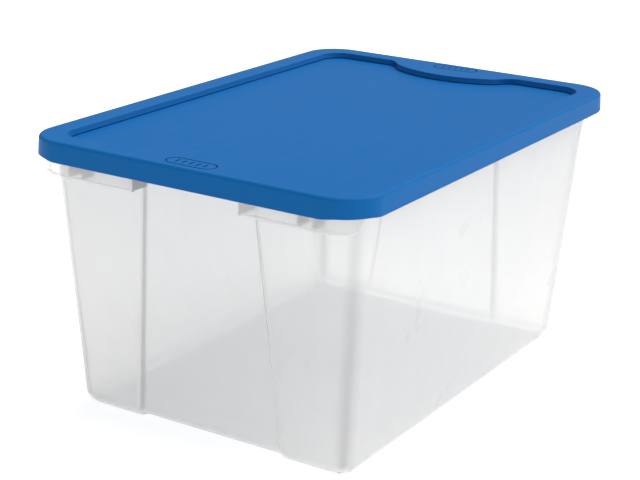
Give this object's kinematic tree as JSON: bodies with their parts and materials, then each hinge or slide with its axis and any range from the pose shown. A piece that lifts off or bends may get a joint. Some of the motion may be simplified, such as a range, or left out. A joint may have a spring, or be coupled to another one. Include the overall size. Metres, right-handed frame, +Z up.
{
  "type": "storage tote",
  "caption": "Stackable translucent plastic storage tote with tapered walls, grip skirts at both ends and a press-on lid.",
  "frame": {"origin": "on the ground, under the middle of the base", "axes": "+X along the tote's length, +Y across it, +Z up out of its mouth"},
  "size_m": [0.61, 0.412, 0.312],
  "materials": {
    "tub_clear": "translucent natural polypropylene, softly glossy outside, slightly hazy",
    "lid_blue": "moulded polypropylene with a fine satin texture"
  },
  "bodies": {
    "tub": {"tub": "tub_clear"},
    "lid": {"lid": "lid_blue"}
  },
  "joints": [
    {"name": "lid_lift", "type": "slide", "parent": "tub", "child": "lid", "axis": [0, 0, 1], "range_m": [0, 0.42]}
  ]
}
